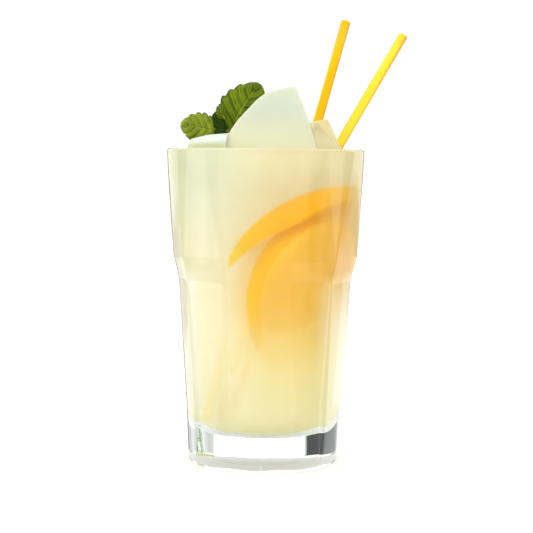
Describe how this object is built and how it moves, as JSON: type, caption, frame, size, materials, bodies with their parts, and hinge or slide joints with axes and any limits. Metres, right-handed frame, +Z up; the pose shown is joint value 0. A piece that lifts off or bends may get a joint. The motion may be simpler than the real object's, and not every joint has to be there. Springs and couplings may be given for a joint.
{
  "type": "glass of iced lemonade",
  "caption": "Tall ten-sided glass tumbler filled to the brim with cloudy lemonade, with ice shards, mint leaves and slim straws.",
  "frame": {"origin": "centre of the glass's flat underside, on the surface that it stands on", "axes": "+Z up along the glass's axis; the side that faces the viewer is -Y; the straws lean to +X"},
  "size_m": [0.1032, 0.0842, 0.1898],
  "materials": {
    "clear_glass": "clear, smooth, fire polished",
    "cloudy_lemonade": "cloudy pale yellow liquid, wet surface",
    "ice": "milky greenish white ice, wet",
    "amber_straw": "satin golden yellow plastic",
    "yellow_straw": "satin light yellow plastic",
    "mint_leaf": "puckered leaf with a soft sheen",
    "mint_stem": "smooth soft stem",
    "lemon_slice": "wet peel and juicy flesh"
  },
  "bodies": {
    "root": {"glass": "clear_glass", "lemonade": "cloudy_lemonade", "ice_peak": "ice", "ice_right": "ice", "ice_left": "ice", "straw_left": "amber_straw", "straw_right": "yellow_straw", "mint_stem": "mint_stem", "mint_leaf_large": "mint_leaf", "mint_leaf_left": "mint_leaf", "mint_leaf_small": "mint_leaf", "mint_leaf_dark": "mint_leaf"}
  },
  "joints": []
}
